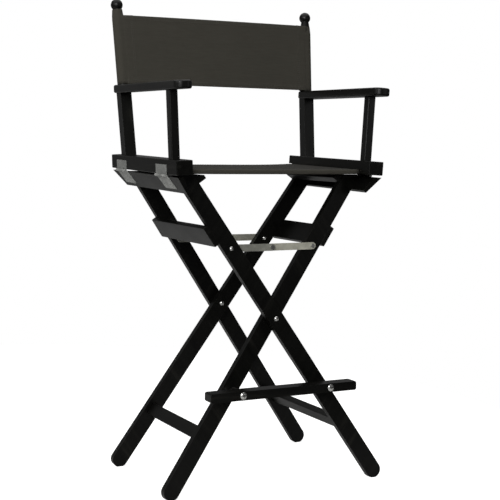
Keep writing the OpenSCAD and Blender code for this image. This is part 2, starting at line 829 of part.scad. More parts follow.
module pivot_nuts()
  bright() {
    pivot_nut(inner_front_y + leg_deep - pivot_seat + run_gap);
    pivot_nut(-outer_front_y - pivot_seat);
  }
module outer_stay_pins()
  bright() {
    outer_stay_pin();
    other_end() outer_stay_pin();
  }
module footrest_bolt()
  bright()
    translate([rest_bolt_x, 0, rest_height])
      bolt(rest_front_y - run_gap, rest_nut_y + nut_tall + bolt_past, rest_head_r, rest_head);
module footrest_nut()
  bright()
    translate([rest_bolt_x, 0, rest_height])
      difference() {
        nut(rest_nut_y);
        rod(bolt_r + glue_gap / 2, outer_front_y, 0);
      }
module footrest_spacer()
  steel()
    translate([rest_bolt_x, 0, rest_height])
      difference() {
        rod(nut_r, rest_back_y + run_gap, rest_face_y + rest_seat);
        rod(bolt_r + glue_gap / 2, -far, far);
      }

module inner_leg_front() wood() other_hand() leg(inner_front_y, bolt_r + run_gap, inner_stay_z);
module inner_leg_rear() wood() other_hand() other_end() leg(inner_front_y, bolt_r + run_gap, inner_stay_z);
module inner_hinge_board() wood() other_hand() hinge_board();
module inner_brace() wood() other_hand() brace(inner_front_y, inner_brace_up);
module inner_top_bar() wood() other_hand() top_bar(inner_front_y);
module inner_stretcher() wood() other_hand() stretcher(inner_front_y);
module right_lower_leaf_front() steel() other_hand() lower_leaf_at(-hinge_front);
module right_lower_leaf_rear() steel() other_hand() lower_leaf_at(hinge_back);
module right_hinge_pins() steel() other_hand() hinge_pins();
module right_lower_screws() steel() other_hand() lower_screws();
module inner_stay_pins()
  bright()
    other_hand() {
      inner_stay_pin();
      other_end() inner_stay_pin();
    }
module footrest_cradle() steel() cradle();

module left_seat_rail() wood() on_left() seat_rail();
module left_front_post() wood() on_left() front_post();
module left_back_post() wood() on_left() back_post();
module left_arm() wood() on_left() arm();
module left_upper_leaf_front() steel() upper_leaf_at(-hinge_front);
module left_upper_leaf_rear() steel() upper_leaf_at(hinge_back);
module left_upper_screws() steel() upper_screws();
module left_seat_dowel() wood() on_rail() seat_dowel();
module seat_canvas()
  cloth() {
    seat_loop();
    other_hand() seat_loop();
    seat_sheet();
  }
module back_canvas()
  cloth() {
    back_sleeve();
    other_hand() back_sleeve();
    back_panel();
  }

module right_seat_rail() wood() on_right() seat_rail();
module right_front_post() wood() on_right() front_post();
module right_back_post() wood() on_right() back_post();
module right_arm() wood() on_right() arm();
module right_upper_leaf_front() steel() other_hand() upper_leaf_at(-hinge_front);
module right_upper_leaf_rear() steel() other_hand() upper_leaf_at(hinge_back);
module right_upper_screws() steel() other_hand() upper_screws();
module right_seat_dowel() wood() other_hand() on_rail() seat_dowel();

module front_stay_outer_link() steel() outer_link();
module front_stay_inner_link() steel() other_hand() inner_link();
module front_stay_rivet() bright() stay_rivet();
module rear_stay_outer_link() steel() other_end() outer_link();
module rear_stay_inner_link() steel() other_end() other_hand() inner_link();
module rear_stay_rivet() bright() other_end() stay_rivet();

module footrest_bar() wood() footrest_bar_solid();
module footrest_catch_pin()
  bright()
    translate([-rest_cross_x, 0, rest_height]) bolt(rest_front_y, catch_end_y, rest_head_r, rest_head);

outer_leg_front();
outer_leg_rear();
outer_hinge_board();
outer_brace();
outer_top_bar();
outer_stretcher();
left_lower_leaf_front();
left_lower_leaf_rear();
left_hinge_pins();
left_lower_screws();
pivot_bolts();
pivot_spacers();
pivot_nuts();
outer_stay_pins();
footrest_bolt();
footrest_nut();
footrest_spacer();
inner_leg_front();
inner_leg_rear();
inner_hinge_board();
inner_brace();
inner_top_bar();
inner_stretcher();
right_lower_leaf_front();
right_lower_leaf_rear();
right_hinge_pins();
right_lower_screws();
inner_stay_pins();
footrest_cradle();
left_seat_rail();
left_front_post();
left_back_post();
left_arm();
left_upper_leaf_front();
left_upper_leaf_rear();
left_upper_screws();
left_seat_dowel();
seat_canvas();
back_canvas();
right_seat_rail();
right_front_post();
right_back_post();
right_arm();
right_upper_leaf_front();
right_upper_leaf_rear();
right_upper_screws();
right_seat_dowel();
front_stay_outer_link();
front_stay_inner_link();
front_stay_rivet();
rear_stay_outer_link();
rear_stay_inner_link();
rear_stay_rivet();
footrest_bar();
footrest_catch_pin();
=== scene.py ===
"""Looks of the tall folding director chair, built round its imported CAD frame."""

import json
import math

import bmesh
import bpy
from mathutils import Matrix, Quaternion, Vector

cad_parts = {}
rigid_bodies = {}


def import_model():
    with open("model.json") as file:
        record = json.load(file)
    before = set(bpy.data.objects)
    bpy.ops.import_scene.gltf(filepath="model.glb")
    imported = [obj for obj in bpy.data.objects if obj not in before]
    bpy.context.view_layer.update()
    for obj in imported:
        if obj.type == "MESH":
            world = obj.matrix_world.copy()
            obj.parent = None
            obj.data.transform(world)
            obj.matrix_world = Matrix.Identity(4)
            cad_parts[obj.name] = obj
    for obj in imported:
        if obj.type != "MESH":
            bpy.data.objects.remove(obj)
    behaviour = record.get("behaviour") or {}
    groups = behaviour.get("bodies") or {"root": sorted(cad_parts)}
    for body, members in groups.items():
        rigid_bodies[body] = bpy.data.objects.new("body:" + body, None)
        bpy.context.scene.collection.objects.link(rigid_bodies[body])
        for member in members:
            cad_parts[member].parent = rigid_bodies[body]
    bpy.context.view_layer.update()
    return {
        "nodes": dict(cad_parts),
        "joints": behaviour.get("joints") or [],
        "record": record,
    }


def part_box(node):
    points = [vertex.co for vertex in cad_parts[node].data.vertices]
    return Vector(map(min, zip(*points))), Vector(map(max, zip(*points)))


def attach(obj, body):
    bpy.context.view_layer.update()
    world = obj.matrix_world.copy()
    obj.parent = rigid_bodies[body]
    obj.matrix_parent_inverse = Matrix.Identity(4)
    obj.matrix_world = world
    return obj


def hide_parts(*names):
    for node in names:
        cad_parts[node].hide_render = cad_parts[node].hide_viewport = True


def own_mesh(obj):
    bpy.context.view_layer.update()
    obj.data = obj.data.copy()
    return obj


# Blender opens with a few objects of its own
for leftover in list(bpy.data.objects):
    bpy.data.objects.remove(leftover)

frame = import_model()
nodes = frame["nodes"]
joints = {joint["name"]: joint for joint in frame["joints"]}

# Sizes are in metres, and angles in degrees unless a comment says otherwise
MM = 0.001
ACROSS = Vector((1, 0, 0))
DEPTH = Vector((0, 1, 0))
UP = Vector((0, 0, 1))
WHITE = (1, 1, 1, 1)
CLOTH_THICK = 1.2 * MM


# Camera, for a square picture

CAMERA_PLACE = Vector((-1.35832, -2.58960, 0.82523))
CAMERA_YAW = 27.8242
CAMERA_PITCH = -5.3490
CAMERA_ROLL = 0.9746
CAMERA_LENS = 86.4255
SENSOR_WIDTH = 36.0


def direction(yaw, pitch):
    """The unit vector of a heading from +Y toward +X and a climb."""
    heading, climb = math.radians(yaw), math.radians(pitch)
    level = math.cos(climb)
    return Vector((math.sin(heading) * level, math.cos(heading) * level, math.sin(climb)))


def make_camera():
    data = bpy.data.cameras.new("camera")
    data.sensor_width = SENSOR_WIDTH
    data.lens = CAMERA_LENS
    camera = bpy.data.objects.new("camera", data)
    bpy.context.scene.collection.objects.link(camera)
    forward = direction(CAMERA_YAW, CAMERA_PITCH)
    level = forward.cross(UP).normalized()
    upright = level.cross(forward)
    roll = math.radians(CAMERA_ROLL)
    right = math.cos(roll) * level + math.sin(roll) * upright
    up = math.cos(roll) * upright - math.sin(roll) * level
    turn = Matrix((right, up, -forward)).transposed()
    camera.matrix_world = Matrix.Translation(CAMERA_PLACE) @ turn.to_4x4()
    bpy.context.scene.camera = camera


# Materials

NOISE_ROUGHNESS = 0.55

# Samples of the worn edges, and how far the normals have to agree for no wear and for full wear
EDGE_SAMPLES = 4
EDGE_NONE = 0.98
EDGE_FULL = 0.75

# Sockets of a Mix node that mixes colours
MIX_SHARE = 0
MIX_FIRST = 6
MIX_SECOND = 7
MIX_COLOUR = 2


class Surface:
    """A material's node tree, with short calls that add and link its nodes."""

    def __init__(self, name):
        self.material = bpy.data.materials.new(name)
        self.material.use_nodes = True
        self.tree = self.material.node_tree
        self.shader = self.tree.nodes["Principled BSDF"]

    def add(self, kind, **settings):
        node = self.tree.nodes.new(kind)
        for key, value in settings.items():
            setattr(node, key, value)
        return node

    def link(self, source, output, target, entry):
        self.tree.links.new(source.outputs[output], target.inputs[entry])

    def feed(self, source, output, entry):
        """Link a node to the shader."""
        self.link(source, output, self.shader, entry)

    def set(self, **values):
        """Set constants on the shader's own sockets."""
        for key, value in values.items():
            self.shader.inputs[key.replace("_", " ")].default_value = value

    def coordinates(self, turn=(0, 0, 0), scale=(1, 1, 1)):
        """Object coordinates, turned and then stretched."""
        place = self.add("ShaderNodeTexCoord")
        turned_place = self.add("ShaderNodeMapping")
        turned_place.inputs["Rotation"].default_value = [math.radians(angle) for angle in turn]
        stretched = self.add("ShaderNodeMapping")
        stretched.inputs["Scale"].default_value = scale
        self.link(place, "Object", turned_place, "Vector")
        self.link(turned_place, "Vector", stretched, "Vector")
        return stretched

    def noise(self, where, scale, detail):
        noise = self.add("ShaderNodeTexNoise")
        noise.inputs["Scale"].default_value = scale
        noise.inputs["Detail"].default_value = detail
        noise.inputs["Roughness"].default_value = NOISE_ROUGHNESS
        self.link(where, "Vector", noise, "Vector")
        return noise

    def ramp(self, source, output, stops):
        """A colour that follows a value through stops of (value, colour)."""
        ramp = self.add("ShaderNodeValToRGB")
        points = ramp.color_ramp.elements
        while len(points) < len(stops):
            points.new(0.5)
        for point, (place, colour) in zip(points, stops):
            point.position = place
            point.color = (*colour, 1)
        self.link(source, output, ramp, "Fac")
        return ramp

    def span(self, source, output, low, high):
        """A value from 0 to 1 moved to run from low to high."""
        span = self.add("ShaderNodeMapRange")
        span.inputs["To Min"].default_value = low
        span.inputs["To Max"].default_value = high
        self.link(source, output, span, "Value")
        return span

    def bump(self, source, output, strength, distance, under=None):
        bump = self.add("ShaderNodeBump")
        bump.inputs["Strength"].default_value = strength
        bump.inputs["Distance"].default_value = distance
        self.link(source, output, bump, "Height")
        if under is not None:
            self.link(under, "Normal", bump, "Normal")
        return bump

    def mix(self, share, first, second):
        """The colours of two nodes, mixed by a third node's value."""
        mix = self.add("ShaderNodeMix", data_type="RGBA")
        self.link(share, "Value", mix, MIX_SHARE)
        self.link(first, "Color", mix, MIX_FIRST)
        self.link(second, "Color", mix, MIX_SECOND)
        return mix

    def edges(self, radius):
        """A value that rises to 1 on edges about as sharp as a right angle."""
        bevel = self.add("ShaderNodeBevel", samples=EDGE_SAMPLES)
        bevel.inputs["Radius"].default_value = radius
        surface = self.add("ShaderNodeNewGeometry")
        dot = self.add("ShaderNodeVectorMath", operation="DOT_PRODUCT")
        self.link(bevel, "Normal", dot, 0)
        self.link(surface, "Normal", dot, 1)
        edge = self.add("ShaderNodeMapRange")
        edge.inputs["From Min"].default_value = EDGE_NONE
        edge.inputs["From Max"].default_value = EDGE_FULL
        self.link(dot, "Value", edge, "Value")
        return edge


# Painted wood: the stretches are noise per metre, first along the grain and then across it
WOOD_DARK = (0.0014, 0.0014, 0.0012)
WOOD_MIDDLE = (0.0030, 0.0030, 0.0025)
WOOD_LIGHT = (0.0085, 0.0082, 0.0068)
WOOD_WORN = (0.0180, 0.0165, 0.0135)
WOOD_GLOSS = 0.13
HANDLED_GLOSS = 0.22
GRAIN_STRETCH = (5, 60, 60)
PORE_STRETCH = (40, 900, 900)
PATCH_STRETCH = (9, 14, 14)
WORN_REACH = 1.6 * MM


def wood(name, turn, gloss=WOOD_GLOSS):
    """Satin black paint on wood, with the grain along the local X axis after the turn."""
    look = Surface(name)
    broad = look.noise(look.coordinates(turn, GRAIN_STRETCH), scale=1, detail=5)
    pores = look.noise(look.coordinates(turn, PORE_STRETCH), scale=1, detail=3)
    patches = look.noise(look.coordinates(turn, PATCH_STRETCH), scale=1, detail=3)
    grain = look.ramp(broad, "Fac", [(0.32, WOOD_DARK), (0.60, WOOD_MIDDLE), (0.74, WOOD_LIGHT)])
    worn = look.add("ShaderNodeRGB")
    worn.outputs["Color"].default_value = (*WOOD_WORN, 1)
    rubbed = look.add("ShaderNodeMath", operation="MULTIPLY", use_clamp=True)
    look.link(look.edges(WORN_REACH), "Result", rubbed, 0)
    look.link(look.span(patches, "Fac", low=-0.35, high=1.0), "Result", rubbed, 1)
    look.feed(look.mix(rubbed, grain, worn), MIX_COLOUR, "Base Color")
    look.feed(look.span(patches, "Fac", low=0.28, high=0.46), "Result", "Roughness")
    soft = look.bump(broad, "Fac", strength=0.12, distance=0.6 * MM)
    fine = look.bump(pores, "Fac", strength=0.10, distance=0.15 * MM, under=soft)
    look.feed(fine, "Normal", "Normal")
    look.set(Specular_IOR_Level=gloss)
    return look.material


CANVAS_DARK = (0.0265, 0.0248, 0.0202)
CANVAS_LIGHT = (0.0390, 0.0366, 0.0300)
# Painted light and painted shade: the back's copy of the canvas is made lighter, and the seat's copy
# darker where more light falls on it from above
BACK_PAINTED_LIGHT = 1.3
SEAT_PAINTED_SHADE = 0.62
THREAD_PITCH = 1.4 * MM
SLUB_STRETCH = (30, 260, 260)
CROSSING_SHARE = 0.35

# How wide a band of a wave is at a scale of 1
WAVE_WIDTH = math.pi / 10


def weave(look, axis):
    """A row of threads across one axis, slightly uneven."""
    wave = look.add("ShaderNodeTexWave", wave_type="BANDS", bands_direction=axis)
    wave.inputs["Scale"].default_value = WAVE_WIDTH / THREAD_PITCH
    wave.inputs["Distortion"].default_value = 0.6
    wave.inputs["Detail"].default_value = 2
    wave.inputs["Detail Scale"].default_value = 1.5
    look.link(look.coordinates(), "Vector", wave, "Vector")
    return wave


def canvas(name, second_axis, painted_shading):
    """Plain heavy cotton weave, its threads across X and across a second axis, its colour lightened or
    darkened as painted light or painted shade.
    """
    look = Surface(name)
    crossing = look.add("ShaderNodeMath", operation="MULTIPLY")
    look.link(weave(look, "X"), "Fac", crossing, 0)
    look.link(weave(look, second_axis), "Fac", crossing, 1)
    fading = look.noise(look.coordinates(), scale=14, detail=4)
    slubs = look.noise(look.coordinates(scale=SLUB_STRETCH), scale=1, detail=3)
    tone = look.add("ShaderNodeMath", operation="MULTIPLY_ADD")
    look.link(crossing, "Value", tone, 0)
    tone.inputs[1].default_value = CROSSING_SHARE
    look.link(look.span(slubs, "Fac", low=0.1, high=0.55), "Result", tone, 2)
    threads = look.ramp(tone, "Value", [(0.15, CANVAS_DARK), (0.75, CANVAS_LIGHT)])
    shade = look.add("ShaderNodeHueSaturation")
    # random fading of the cotton, times this copy's painted light or painted shade
    fading_and_painted_light = look.span(fading, "Fac", low=0.9 * painted_shading, high=1.1 * painted_shading)
    look.link(fading_and_painted_light, "Result", shade, "Value")
    look.link(threads, "Color", shade, "Color")
    look.feed(shade, "Color", "Base Color")
    look.feed(look.span(slubs, "Fac", low=0.82, high=0.96), "Result", "Roughness")
    woven = look.bump(crossing, "Value", strength=0.35, distance=0.25 * MM)
    uneven = look.bump(slubs, "Fac", strength=0.12, distance=0.4 * MM, under=woven)
    look.feed(uneven, "Normal", "Normal")
    look.set(Specular_IOR_Level=0.08, Sheen_Weight=0.02, Sheen_Roughness=0.5)
    return look.material


THREAD_DARK = (0.030, 0.028, 0.023)
THREAD_LIGHT = (0.060, 0.056, 0.046)


def thread(name):
    """Twisted sewing thread."""
    look = Surface(name)
    twist = look.noise(look.coordinates(), scale=900, detail=2)
    look.feed(look.ramp(twist, "Fac", [(0.3, THREAD_DARK), (0.7, THREAD_LIGHT)]), "Color", "Base Color")
    look.feed(look.span(twist, "Fac", low=0.6, high=0.85), "Result", "Roughness")
    look.feed(look.bump(twist, "Fac", strength=0.3, distance=0.1 * MM), "Normal", "Normal")
    return look.material


BRUSH_SHARE = 0.5


def metal(name, dark, light, smooth, rough, brushed, metallic):
    """Plated steel with faint brushing and cloudy tarnish."""
    look = Surface(name)
    brush = look.noise(look.coordinates(scale=brushed), scale=1, detail=4)
    cloud = look.noise(look.coordinates(), scale=45, detail=5)
    look.feed(look.ramp(cloud, "Fac", [(0.3, dark), (0.7, light)]), "Color", "Base Color")
    blotch = look.add("ShaderNodeMath", operation="MULTIPLY_ADD")
    look.link(brush, "Fac", blotch, 0)
    blotch.inputs[1].default_value = BRUSH_SHARE
    look.link(look.span(cloud, "Fac", low=0.0, high=1 - BRUSH_SHARE), "Result", blotch, 2)
    look.feed(look.span(blotch, "Value", low=smooth, high=rough), "Result", "Roughness")
    look.feed(look.bump(brush, "Fac", strength=0.06, distance=0.08 * MM), "Normal", "Normal")
    look.set(Metallic=metallic, Specular_IOR_Level=0.3)
    return look.material


PAINT_DARK = (0.008, 0.008, 0.008)
PAINT_LIGHT = (0.020, 0.019, 0.018)


def black_steel(name):
    """Thin black paint on steel."""
    look = Surface(name)
    dust = look.noise(look.coordinates(), scale=220, detail=4)
    look.feed(look.ramp(dust, "Fac", [(0.3, PAINT_DARK), (0.75, PAINT_LIGHT)]), "Color", "Base Color")
    look.feed(look.span(dust, "Fac", low=0.3, high=0.5), "Result", "Roughness")
    look.feed(look.bump(dust, "Fac", strength=0.1, distance=0.1 * MM), "Normal", "Normal")
    return look.material


LEG_TILT = 34.5
WOODS = {
    "outer_leg": wood("wood_outer_leg", (0, 90 - LEG_TILT, 0)),
    "inner_leg": wood("wood_inner_leg", (0, LEG_TILT - 90, 0)),
    "depth": wood("wood_depth", (0, 0, 90)),
    "upright": wood("wood_upright", (0, 90, 0), HANDLED_GLOSS),
    "arm": wood("wood_arm", (0, 0, 90), HANDLED_GLOSS),
    "across": wood("wood_across", (0, 0, 0)),
}
HINGE_FINISH = {"smooth": 0.40, "rough": 0.62, "brushed": (30, 700, 30), "metallic": 0.15}
STAY_FINISH = {"smooth": 0.28, "rough": 0.50, "brushed": (25, 600, 600), "metallic": 0.5}
NICKEL_FINISH = {"smooth": 0.18, "rough": 0.36, "brushed": (300, 300, 300), "metallic": 1.0}
HINGE_STEEL = metal("hinge_zinc", (0.150, 0.153, 0.145), (0.210, 0.213, 0.203), **HINGE_FINISH)
# The lower leaves get a lighter copy of the same hinge zinc: painted light where they face the floor
LOWER_HINGE_PAINTED_LIGHT = metal("lower_zinc_painted_light", (0.220, 0.224, 0.213), (0.300, 0.304, 0.290), **HINGE_FINISH)
STAY_STEEL = metal("stay_zinc", (0.420, 0.415, 0.350), (0.600, 0.590, 0.500), **STAY_FINISH)
# The outer stay gets a darker copy of the same stay zinc: painted shade
OUTER_STAY_PAINTED_SHADE = metal("outer_stay_zinc_painted_shade", (0.200, 0.200, 0.175), (0.330, 0.330, 0.290), **STAY_FINISH)
BRIGHT_STEEL = metal("bright_nickel", (0.360, 0.360, 0.350), (0.520, 0.520, 0.500), **NICKEL_FINISH)
PAINTED_STEEL = black_steel("painted_steel")
# One canvas in two copies: a darker one for the seat, which is painted shade, and a lighter one for the
# back, which is painted light
SEAT_CANVAS_PAINTED_SHADE = canvas("seat_weave_painted_shade", "Y", SEAT_PAINTED_SHADE)
BACK_CANVAS_PAINTED_LIGHT = canvas("back_weave_painted_light", "Z", BACK_PAINTED_LIGHT)
THREAD = thread("thread")


def grain_of(node):
    """Which of the woods suits a node, by the way its piece is cut."""
    if "leg" in node:
        return "outer_leg" if "outer" in node else "inner_leg"
    if "post" in node:
        return "upright"
    if node.endswith("_arm"):
        return "arm"
    return "across" if "footrest" in node else "depth"


def material_of(node, slot):
    """The material of a CAD node, by its slot and its name."""
    if slot == "black_wood":
        return WOODS[grain_of(node)]
    # lower hinge leaves take the lighter copy of the zinc, which is painted light
    if slot == "hinge_steel" and "lower" in node:
        return LOWER_HINGE_PAINTED_LIGHT
    # the outer stay takes the darker copy of the zinc, which is painted shade
    if slot == "stay_steel" and "outer" in node:
        return OUTER_STAY_PAINTED_SHADE
    return {
        "hinge_steel": HINGE_STEEL,
        "stay_steel": STAY_STEEL,
        "bright_steel": BRIGHT_STEEL,
        "black_steel": PAINTED_STEEL,
        "canvas": SEAT_CANVAS_PAINTED_SHADE,
    }[slot]


# Rounded edges of the CAD nodes

EDGE_ROUND = {"black_wood": 1.2 * MM, "hinge_steel": 0.25 * MM, "stay_steel": 0.35 * MM}
EDGE_STEPS = 2
ARM_ROUND = 4.5 * MM
ARM_STEPS = 4
RAIL_END_ROUND = 2.3 * MM
RAIL_END_STEPS = 3
SHARP = 40
FLAT = 0.5
SAME_PLACE = 0.01 * MM
PLACE_DIGITS = 5
OUTER_SLACK = 0.5 * MM
END_FACE = 0.9


def place_key(edge):
    """The places of an edge's two ends, which name it in a welded mesh and in a split one."""
    return frozenset(tuple(round(value, PLACE_DIGITS) for value in vert.co) for vert in edge.verts)


def sharp_edges(mesh, ends_only):
    """Keys of a mesh's sharp edges in two sets: its outline's, or its ends' alone, and its hollows'."""
    form = bmesh.new()
    form.from_mesh(mesh)
    bmesh.ops.remove_doubles(form, verts=form.verts, dist=SAME_PLACE)
    outer = set()
    inner = set()
    for edge in form.edges:
        if len(edge.link_faces) != 2 or edge.calc_face_angle() < math.radians(SHARP):
            continue
        outward = (edge.link_faces[0].normal + edge.link_faces[1].normal).normalized()
        reach = max(vert.co.dot(outward) for vert in form.verts)
        at_end = max(abs(face.normal.y) for face in edge.link_faces) > END_FACE
        if reach - edge.verts[0].co.dot(outward) > OUTER_SLACK:
            inner.add(place_key(edge))
        elif at_end or not ends_only:
            outer.add(place_key(edge))
    form.free()
    return outer, inner


def mark_outline(mesh, ends_only):
    """Give bevel weight to a mesh's outer edges, and keep its hollows sharp."""
    outer, inner = sharp_edges(mesh, ends_only)
    form = bmesh.new()
    form.from_mesh(mesh)
    places = [place_key(edge) for edge in form.edges]
    form.free()
    weight = mesh.attributes.new("bevel_weight_edge", "FLOAT", "EDGE")
    weight.data.foreach_set("value", [float(place in outer) for place in places])
    mesh.edges.foreach_set("use_edge_sharp", [place in inner for place in places])


def soften(node, width, steps, outline=False, ends_only=False):
    """Round a CAD node's sharp edges, or only those of its outline, by modifiers alone."""
    weld = node.modifiers.new("weld", "WELD")
    weld.merge_threshold = SAME_PLACE
    flat = node.modifiers.new("flat", "DECIMATE")
    flat.decimate_type = "DISSOLVE"
    flat.angle_limit = math.radians(FLAT)
    rounded = node.modifiers.new("rounded", "BEVEL")
    rounded.width = width
    rounded.segments = steps
    rounded.limit_method = "WEIGHT" if outline else "ANGLE"
    rounded.angle_limit = math.radians(SHARP)
    rounded.use_clamp_overlap = not outline
    rounded.miter_outer = "MITER_ARC"
    if outline:
        mark_outline(node.data, ends_only)
    even = node.modifiers.new("even", "WEIGHTED_NORMAL")
    even.keep_sharp = outline


def dress_frame():
    """Materials and rounded edges for the CAD nodes."""
    for part in frame["record"]["subparts"]:
        name = part["node"]
        slot = part["material_slot"]
        node = nodes[name]
        node.data.materials.clear()
        node.data.materials.append(material_of(name, slot))
        if name.endswith("_arm"):
            soften(node, ARM_ROUND, ARM_STEPS, outline=True)
        elif name.endswith("_seat_rail"):
            soften(node, RAIL_END_ROUND, RAIL_END_STEPS, outline=True, ends_only=True)
        elif slot in EDGE_ROUND:
            soften(node, EDGE_ROUND[slot], EDGE_STEPS)


# Meshes


def spread(low, high, count):
    """Evenly spaced numbers from low to high."""
    return [low + (high - low) * number / (count - 1) for number in range(count)]


def add_object(name, mesh, material):
    piece = bpy.data.objects.new(name, mesh)
    bpy.context.scene.collection.objects.link(piece)
    mesh.materials.append(material)
    for face in mesh.polygons:
        face.use_smooth = True
    return piece


def form_piece(name, form, material):
    """An object from a form, with the form's faces turned the same way."""
    bmesh.ops.recalc_face_normals(form, faces=form.faces)
    mesh = bpy.data.meshes.new(name)
    form.to_mesh(mesh)
    form.free()
    return add_object(name, mesh, material)


def grid_piece(name, material, rows, used=None, closed=False):
    """A sheet from rows of points, where used(row, column) says which points it has."""
    form = bmesh.new()
    made = {}
    for row, points in enumerate(rows):
        for column, point in enumerate(points):
            if used is None or used(row, column):
                made[row, column] = form.verts.new(point)
    wide = len(rows[0])
    for row in range(len(rows) - 1):
        for column in range(wide if closed else wide - 1):
            following = (column + 1) % wide
            corners = [(row, column), (row, following), (row + 1, following), (row + 1, column)]
            if all(corner in made for corner in corners):
                form.faces.new([made[corner] for corner in corners])
    return form_piece(name, form, material)


def thicken(piece, thick, offset=0):
    """Thickness on both sides of a sheet, or all on its inside with an offset of -1."""
    solid = piece.modifiers.new("cloth", "SOLIDIFY")
    solid.thickness = thick
    solid.offset = offset


def turned(point, joint, angle):
    """A point turned about a joint."""
    pivot = Vector(joint["pos_m"])
    turn = Quaternion(Vector(joint["axis"]), math.radians(angle))
    return pivot + turn @ (point - pivot)


def folding(left, right):
    """The axis and the share of a squash between a left point and a right one.

    They take the right point to where it is, seen from the left side, when the chair is folded.
    """
    fold, left_hinge, right_hinge = (joints[name] for name in ("fold", "left_hinge", "right_hinge"))
    hinged = turned(right, right_hinge, right_hinge["range_deg"][0])
    folded = turned(hinged, fold, fold["range_deg"][1])
    seen_from_left = turned(folded, left_hinge, -left_hinge["range_deg"][1])
    loss = right - seen_from_left
    axis = loss.normalized()
    return axis, 1 - loss.length / (right - left).dot(axis)


# Stitches

STITCH_LONG = 3.2 * MM
STITCH_STEP = 4.6 * MM
STITCH_RADIUS = 0.42 * MM
STITCH_SIDES = 6
STITCH_BODY = 0.6


def add_stitch(form, middle, along, out):
    """One raised stitch: two rings and two points, the points sunk into the cloth."""
    side = along.cross(out).normalized()
    ends = []
    for half in (-0.5, 0.5):
        ring = []
        for number in range(STITCH_SIDES):
            angle = 2 * math.pi * number / STITCH_SIDES
            off = STITCH_RADIUS * (math.cos(angle) * side + math.sin(angle) * out)
            ring.append(form.verts.new(middle + along * STITCH_LONG * STITCH_BODY * half + off))
        tip = form.verts.new(middle + along * STITCH_LONG * half - out * STITCH_RADIUS)
        ends.append((ring, tip))
    first, second = (ring for ring, tip in ends)
    for number in range(STITCH_SIDES):
        following = (number + 1) % STITCH_SIDES
        form.faces.new([first[number], first[following], second[following], second[number]])
        for ring, tip in ends:
            form.faces.new([ring[number], ring[following], tip])


def stitch_piece(name, lines):
    """Stitches along lines of (start, end, outward normal)."""
    form = bmesh.new()
    for start, end, out in lines:
        way = end - start
        count = int(way.length / STITCH_STEP)
        for number in range(count):
            add_stitch(form, start + way * (number + 0.5) / count, way.normalized(), out)
    return form_piece(name, form, THREAD)


def runs(marks, out):
    """Lines from each mark to the next, which follow the cloth."""
    return [(start, end, out) for start, end in zip(marks, marks[1:])]


# Screw heads: places on a head are shares of its radius, and turns are in radians

HEAD_HIGH = 0.8 * MM
HEAD_FILL = 0.96
HEAD_MIDDLE = 0.02
HEAD_RINGS = 10
HEAD_STEPS = 40
HEAD_TURN = 0.6
RECESS_HALF = 0.16
RECESS_LONG = 0.62
RECESS_DEEP = 0.6 * MM
NORMAL_DIGITS = 2
SCREW_BODIES = {
    "left_upper": "left_side",
    "left_lower": "outer_frame",
    "right_upper": "right_side",
    "right_lower": "inner_frame",
}


def islands(form):
    """The faces of each separate part of a form, in the form's own order."""
    done = set()
    for first in form.faces:
        if first in done:
            continue
        island = [first]
        done.add(first)
        for face in island:
            for edge in face.edges:
                near = [other for other in edge.link_faces if other not in done]
                island += near
                done.update(near)
        yield island


def largest_side(faces):
    """Those of some faces that make their largest flat side."""
    sides = {}
    for face in faces:
        key = tuple(round(value, NORMAL_DIGITS) for value in face.normal)
        sides.setdefault(key, []).append(face)
    return max(sides.values(), key=lambda side: sum(face.calc_area() for face in side))


def flat_heads(node):
    """The middle, normal and radius of each screw's flat head in a CAD node."""
    form = bmesh.new()
    form.from_mesh(node.data)
    form.transform(node.matrix_world)
    bmesh.ops.remove_doubles(form, verts=form.verts, dist=SAME_PLACE)
    heads = []
    for island in islands(form):
        side = largest_side(island)
        points = [vert.co for face in side for vert in face.verts]
        middle = sum(points, Vector()) / len(points)
        radius = max((point - middle).length for point in points)
        heads.append((middle, side[0].normal.copy(), radius))
    form.free()
    return heads


def head_height(x, y):
    """Height of a raised head over its rim, less the cross recess."""
    dome = HEAD_HIGH * (1 - (x * x + y * y))
    long, narrow = max(abs(x), abs(y)), min(abs(x), abs(y))
    cut = narrow < RECESS_HALF and long < RECESS_LONG
    return dome - RECESS_DEEP * (1 - long ** 2) if cut else dome


def raised_head(name, steel, middle, normal, radius, turn):
    """A raised head over a flat one."""
    across = Quaternion(normal, turn) @ normal.cross(DEPTH).normalized()
    along = normal.cross(across)
    rows = []
    for ring in range(HEAD_RINGS + 1):
        reach = max(ring / HEAD_RINGS, HEAD_MIDDLE)
        row = []
        for step in range(HEAD_STEPS):
            angle = 2 * math.pi * step / HEAD_STEPS
            x, y = reach * math.cos(angle), reach * math.sin(angle)
            flat = middle + radius * HEAD_FILL * (x * across + y * along)
            row.append(flat + head_height(x, y) * normal)
        rows.append(row)
    return grid_piece(name, steel, rows, closed=True)


def make_screw_heads():
    """Raised heads with a cross recess over the flat heads in the hinge leaves."""
    for group, body in SCREW_BODIES.items():
        steel = material_of(f"{group}_leaf", "hinge_steel")
        for number, (middle, normal, radius) in enumerate(flat_heads(nodes[f"{group}_screws"])):
            name = f"{group}_screw_head_{number}"
            head = raised_head(name, steel, middle, normal, radius, HEAD_TURN * number)
            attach(head, body)


# Seat canvas: it slopes down to the front as its rails do

SEAT_SLOPE = 0.9
HEM_DROP = 9.6 * MM
HEM_DEEP = 3.0 * MM
HEM_SIDE_GAP = 3.0 * MM
REAR_FOLD = 18.0 * MM
SAG_FRONT = 0.5 * MM
SAG_MIDDLE = 1.0 * MM
SAG_REAR = 3.3 * MM
SAG_POWER = 4
LEVEL_START = 8 * MM
LEVEL_END = 4 * MM
LEVEL_ROWS = 26
SEAT_COLUMNS = 41

# Its stitch rows, behind the front edge, behind the fold's end and before the rear edge
FRONT_ROW = 7 * MM
FOLD_ROW = 3 * MM
REAR_ROW = 4 * MM
SEAT_MARKS = 25

